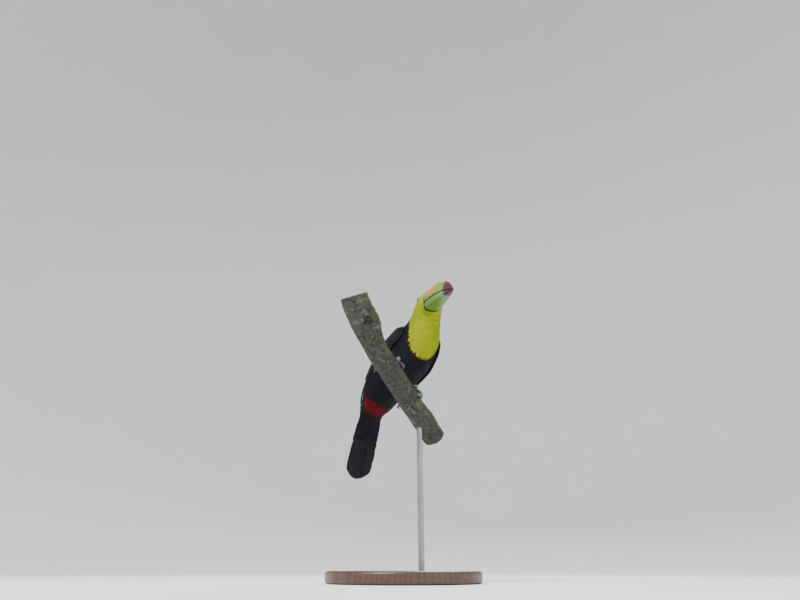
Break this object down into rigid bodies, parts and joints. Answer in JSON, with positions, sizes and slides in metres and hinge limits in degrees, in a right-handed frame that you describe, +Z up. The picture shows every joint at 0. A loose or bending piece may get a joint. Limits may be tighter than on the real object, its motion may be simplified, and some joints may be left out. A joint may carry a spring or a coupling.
{
  "type": "toucan figure",
  "caption": "Life-size keel-billed toucan gripping a cut length of mossy branch, head turned, tail hanging, on a plain disc and rod display stand.",
  "frame": {"origin": "centre of the stand base's flat underside", "axes": "+Z up; the bird's breast and bill face -Y, turned 28 degrees towards +X; -Y is the side the picture was taken from"},
  "size_m": [0.25, 0.2928, 0.5051],
  "materials": {
    "black_plumage": "black contour and flight feathers, softly glossy with a faint blue and maroon sheen",
    "yellow_plumage": "soft lemon yellow feathers of the bib and cheeks; the crown and nape are black",
    "bill_green": "smooth horn, green with an orange flank, a yellow ridge and a maroon tip",
    "lower_bill": "smooth horn, green to pale blue with a maroon tip",
    "eye": "wet, dark brown iris and black pupil",
    "blue_skin": "scaly blue-grey skin of the feet",
    "claw_horn": "dark horn",
    "bark": "rough grey-brown bark with lichen and moss, pale sawn ends",
    "stand_steel": "satin steel rod",
    "stand_wood": "dark stained hardwood, satin varnish"
  },
  "bodies": {
    "root": {"head": "yellow_plumage", "neck": "yellow_plumage", "trunk": "black_plumage", "tail": "black_plumage", "wing_left": "black_plumage", "wing_right": "black_plumage", "leg_left": "black_plumage", "leg_right": "black_plumage", "bill_upper": "bill_green", "bill_lower": "lower_bill", "eye_left": "eye", "eye_right": "eye", "foot_left": "blue_skin", "foot_right": "blue_skin", "claw_left_inner_front": "claw_horn", "claw_left_outer_front": "claw_horn", "claw_left_outer_back": "claw_horn", "claw_left_inner_back": "claw_horn", "claw_right_inner_front": "claw_horn", "claw_right_outer_front": "claw_horn", "claw_right_outer_back": "claw_horn", "claw_right_inner_back": "claw_horn", "perch_branch": "bark", "stand_rod": "stand_steel", "stand_base": "stand_wood"}
  },
  "joints": []
}
